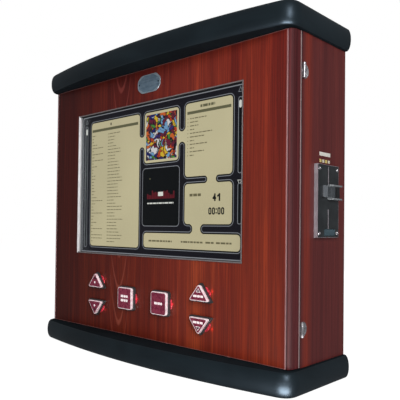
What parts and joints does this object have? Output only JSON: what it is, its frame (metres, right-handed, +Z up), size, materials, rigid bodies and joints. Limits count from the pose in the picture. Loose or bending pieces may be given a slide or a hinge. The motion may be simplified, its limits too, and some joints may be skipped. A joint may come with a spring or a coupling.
{
  "type": "wall-mounted jukebox",
  "caption": "Coin-operated music jukebox: wooden cabinet between bowed black end caps, hinged front door with a recessed screen and lit buttons, coin acceptor on one side.",
  "frame": {"origin": "middle of the bottom cap's underside, half way between the cabinet's sides", "axes": "+Z up, -Y out of the front door, +X towards the coin acceptor side"},
  "size_m": [0.7785, 0.2395, 0.69],
  "materials": {
    "front_veneer": "red mahogany veneer with upright grain, satin lacquer",
    "side_veneer": "plum mahogany veneer with upright grain, satin lacquer",
    "bare_board": "unfinished fibreboard",
    "cap_black": "satin moulded skin, fine grain",
    "plate_black": "satin black enamel",
    "brushed_plate": "brushed",
    "bright_chrome": "polished",
    "zinc_sheet": "zinc plated sheet",
    "drive_case": "cast, matt",
    "black_aluminium": "black anodised",
    "dark_plastic": "moulded, matt",
    "teal_plastic": "translucent smoked blue",
    "circuit_board": "green solder mask",
    "screen_glass": "clear, polished",
    "screen_black": "display panel face",
    "screen_picture": "lit display picture",
    "lamp_lens": "translucent lens, lit",
    "lamp_insert": "burgundy insert behind the lens",
    "label_paper": "printed sticker"
  },
  "bodies": {
    "root": {"bottom_cap": "cap_black", "top_cap": "cap_black", "left_side_panel": "side_veneer", "right_side_panel": "side_veneer", "top_board": "bare_board", "bottom_board": "bare_board", "back_panel": "bare_board", "hanging_plate": "zinc_sheet", "lock_barrel": "bright_chrome", "computer_tray": "zinc_sheet", "mainboard": "circuit_board", "hard_drive": "drive_case", "power_supply": "zinc_sheet", "audio_amplifier": "black_aluminium", "fan_housing": "dark_plastic", "mains_inlet": "dark_plastic", "coin_faceplate": "plate_black", "coin_entry_guide": "brushed_plate", "coin_return_cup": "dark_plastic", "coin_validator": "dark_plastic", "coin_chute": "zinc_sheet", "cash_box": "zinc_sheet", "upper_hinge_cabinet_leaf": "bright_chrome", "upper_hinge_pin": "bright_chrome", "lower_hinge_cabinet_leaf": "bright_chrome", "lower_hinge_pin": "bright_chrome"},
    "door": {"door_panel": "front_veneer", "door_right_post": "side_veneer", "door_left_post": "side_veneer", "door_top_rail": "bare_board", "door_bottom_rail": "bare_board", "door_right_strip": "brushed_plate", "door_left_strip": "brushed_plate", "screen_trim": "bright_chrome", "screen_glass": "screen_glass", "lcd_panel": "screen_black", "lcd_right_bracket": "zinc_sheet", "lcd_left_bracket": "zinc_sheet", "name_plate": "brushed_plate", "door_catch": "zinc_sheet", "upper_hinge_door_leaf": "bright_chrome", "lower_hinge_door_leaf": "bright_chrome", "left_up_button_housing": "dark_plastic", "left_down_button_housing": "dark_plastic", "select_one_button_housing": "dark_plastic", "select_two_button_housing": "dark_plastic", "right_up_button_housing": "dark_plastic", "right_down_button_housing": "dark_plastic"},
    "left_up_button": {"left_up_button_cap": "lamp_lens"},
    "left_down_button": {"left_down_button_cap": "lamp_lens"},
    "select_one_button": {"select_one_button_cap": "lamp_lens"},
    "select_two_button": {"select_two_button_cap": "lamp_lens"},
    "right_up_button": {"right_up_button_cap": "lamp_lens"},
    "right_down_button": {"right_down_button_cap": "lamp_lens"},
    "reject_button": {"coin_reject_button": "teal_plastic"},
    "return_flap": {"coin_return_flap": "teal_plastic"},
    "lock": {"lock_plug": "bright_chrome", "lock_cam": "zinc_sheet"},
    "fan": {"fan_rotor": "dark_plastic"}
  },
  "joints": [
    {"name": "door_hinge", "type": "hinge", "parent": "root", "child": "door", "pos_m": [0.3782, -0.0376, 0.345], "axis": [0, 0, 1], "range_deg": [0, 105]},
    {"name": "left_up_press", "type": "slide", "parent": "door", "child": "left_up_button", "axis": [0, 1, 0], "range_m": [0, 0.0035], "stiffness_N_per_m": 300},
    {"name": "left_down_press", "type": "slide", "parent": "door", "child": "left_down_button", "axis": [0, 1, 0], "range_m": [0, 0.0035], "stiffness_N_per_m": 300},
    {"name": "select_one_press", "type": "slide", "parent": "door", "child": "select_one_button", "axis": [0, 1, 0], "range_m": [0, 0.0035], "stiffness_N_per_m": 300},
    {"name": "select_two_press", "type": "slide", "parent": "door", "child": "select_two_button", "axis": [0, 1, 0], "range_m": [0, 0.0035], "stiffness_N_per_m": 300},
    {"name": "right_up_press", "type": "slide", "parent": "door", "child": "right_up_button", "axis": [0, 1, 0], "range_m": [0, 0.0035], "stiffness_N_per_m": 300},
    {"name": "right_down_press", "type": "slide", "parent": "door", "child": "right_down_button", "axis": [0, 1, 0], "range_m": [0, 0.0035], "stiffness_N_per_m": 300},
    {"name": "reject_press", "type": "slide", "parent": "root", "child": "reject_button", "axis": [-1, 0, 0], "range_m": [0, 0.004], "stiffness_N_per_m": 300},
    {"name": "return_flap_hinge", "type": "hinge", "parent": "root", "child": "return_flap", "pos_m": [0.38, 0.049, 0.2899], "axis": [0, 1, 0], "range_deg": [0, 60]},
    {"name": "lock_turn", "type": "hinge", "parent": "root", "child": "lock", "pos_m": [-0.36, -0.008, 0.345], "axis": [1, 0, 0], "range_deg": [0, 90]},
    {"name": "fan_spin", "type": "hinge", "parent": "root", "child": "fan", "pos_m": [0.25, 0.1, 0.54], "axis": [0, 1, 0], "continuous": true}
  ]
}
